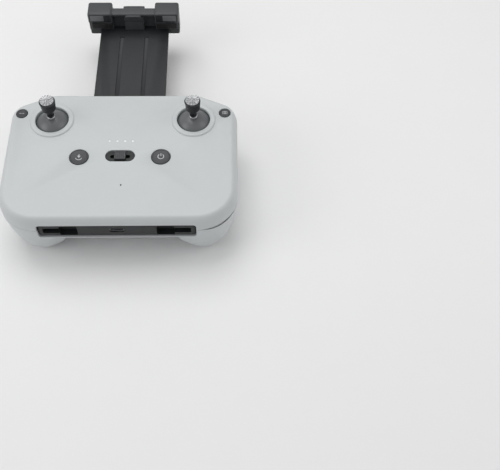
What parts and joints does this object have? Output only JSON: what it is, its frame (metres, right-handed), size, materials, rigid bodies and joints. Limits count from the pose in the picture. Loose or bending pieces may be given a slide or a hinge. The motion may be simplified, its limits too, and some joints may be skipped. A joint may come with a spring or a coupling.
{
  "type": "drone radio transmitter",
  "caption": "Hand-held radio transmitter with tilting control sticks, press keys, a mode slider, a dial and a sliding spring clamp for a phone.",
  "frame": {"origin": "middle of the bounding box's bottom, on the plane that the two grips rest on, with the clamp drawn out to the phone", "axes": "+Z out of the face towards the user's thumbs, +Y from the user towards the phone clamp, +X to the right"},
  "size_m": [0.15, 0.1937, 0.0659],
  "materials": {
    "shell": "fine satin texture, light cool grey",
    "trim": "matte dark grey",
    "key": "soft matte dark grey",
    "clamp": "fine textured dark grey",
    "clamp_dark": "matte near black",
    "pad": "matte mid grey",
    "dome": "satin dark grey",
    "soft": "matte black rubber",
    "steel": "turned steel",
    "collar": "satin aluminium",
    "tip": "machined aluminium",
    "knob": "black anodised and knurled",
    "inner": "plain moulded",
    "acetal": "white low-friction plastic",
    "board": "green solder mask",
    "shield": "tinned sheet",
    "cell": "shrink sleeve",
    "lights": "clear light pipes",
    "screw": "black oxide"
  },
  "bodies": {
    "housing": {"front_shell": "shell", "rear_shell": "shell", "bottom_trim": "trim", "slot_bezel": "trim", "slot_rubber": "soft", "mode_plate": "trim", "battery_lights": "lights", "dial_axle": "steel", "main_board": "board", "board_shields": "shield", "board_switches": "inner", "side_boards": "board", "shoulder_switch": "inner", "usb_socket": "shield", "port_board": "board", "buzzer": "inner", "cell_left": "cell", "cell_right": "cell", "cell_contacts": "steel", "guide_rails": "inner", "drum_brackets": "inner", "spring_drums": "steel", "spring_tapes": "steel", "body_screws": "screw", "left_frame": "inner", "left_springs": "steel", "left_sensors": "board", "right_frame": "inner", "right_springs": "steel", "right_sensors": "board"},
    "holder": {"slide_plate": "clamp_dark", "clamp_bar": "clamp", "clamp_cover": "clamp_dark", "clamp_pads": "pad", "clamp_lips": "soft", "antenna_boards": "board", "bar_screws": "screw"},
    "left_cradle": {"left_yoke": "acetal"},
    "right_cradle": {"right_yoke": "acetal"},
    "left_control": {"left_base": "inner", "left_dome": "dome", "left_collar": "collar"},
    "left_lever": {"left_stick": "knob", "left_tip": "tip"},
    "right_control": {"right_base": "inner", "right_dome": "dome", "right_collar": "collar"},
    "right_lever": {"right_stick": "knob", "right_tip": "tip"},
    "return_key": {"return_button": "key"},
    "power_key": {"power_button": "key"},
    "function_key": {"function_button": "key"},
    "camera_key": {"camera_button": "key"},
    "shutter_key": {"shutter_button": "key"},
    "mode_slider": {"mode_knob": "key"},
    "dial": {"dial_wheel": "inner", "dial_tyre": "soft"}
  },
  "joints": [
    {"name": "clamp_slide", "type": "slide", "parent": "housing", "child": "holder", "axis": [0, 1, 0], "range_m": [-0.074, 0.0105], "deforming": ["spring_tapes"]},
    {"name": "left_stick_sideways", "type": "hinge", "parent": "housing", "child": "left_cradle", "pos_m": [-0.0463, -0.01735, 0.0367], "axis": [0, 1, 0], "range_deg": [-20, 20], "stiffness_Nm_per_rad": 0.02},
    {"name": "left_stick_forward", "type": "hinge", "parent": "left_cradle", "child": "left_control", "pos_m": [-0.0463, -0.01735, 0.0367], "axis": [1, 0, 0], "range_deg": [-20, 20], "stiffness_Nm_per_rad": 0.02},
    {"name": "right_stick_sideways", "type": "hinge", "parent": "housing", "child": "right_cradle", "pos_m": [0.0463, -0.01735, 0.0367], "axis": [0, 1, 0], "range_deg": [-20, 20], "stiffness_Nm_per_rad": 0.02},
    {"name": "right_stick_forward", "type": "hinge", "parent": "right_cradle", "child": "right_control", "pos_m": [0.0463, -0.01735, 0.0367], "axis": [1, 0, 0], "range_deg": [-20, 20], "stiffness_Nm_per_rad": 0.02},
    {"name": "left_stick_removal", "type": "slide", "parent": "left_control", "child": "left_lever", "axis": [0, 0, 1], "range_m": [0, 0.03]},
    {"name": "right_stick_removal", "type": "slide", "parent": "right_control", "child": "right_lever", "axis": [0, 0, 1], "range_m": [0, 0.03]},
    {"name": "return_press", "type": "slide", "parent": "housing", "child": "return_key", "axis": [0, 0, -1], "range_m": [0, 0.0006], "stiffness_N_per_m": 3333.3},
    {"name": "power_press", "type": "slide", "parent": "housing", "child": "power_key", "axis": [0, 0, -1], "range_m": [0, 0.0006], "stiffness_N_per_m": 3333.3},
    {"name": "function_press", "type": "slide", "parent": "housing", "child": "function_key", "axis": [0, 0, -1], "range_m": [0, 0.0006], "stiffness_N_per_m": 3333.3},
    {"name": "camera_press", "type": "slide", "parent": "housing", "child": "camera_key", "axis": [0, 0, -1], "range_m": [0, 0.0006], "stiffness_N_per_m": 3333.3},
    {"name": "shutter_press", "type": "slide", "parent": "housing", "child": "shutter_key", "axis": [0, -1, 0], "range_m": [0, 0.0012], "stiffness_N_per_m": 1666.7},
    {"name": "mode_shift", "type": "slide", "parent": "housing", "child": "mode_slider", "axis": [1, 0, 0], "range_m": [-0.004, 0.004]},
    {"name": "dial_turn", "type": "hinge", "parent": "housing", "child": "dial", "pos_m": [-0.054, -0.00925, 0.016], "axis": [0, 0, 1], "range_deg": [-35, 35], "stiffness_Nm_per_rad": 0.01}
  ]
}
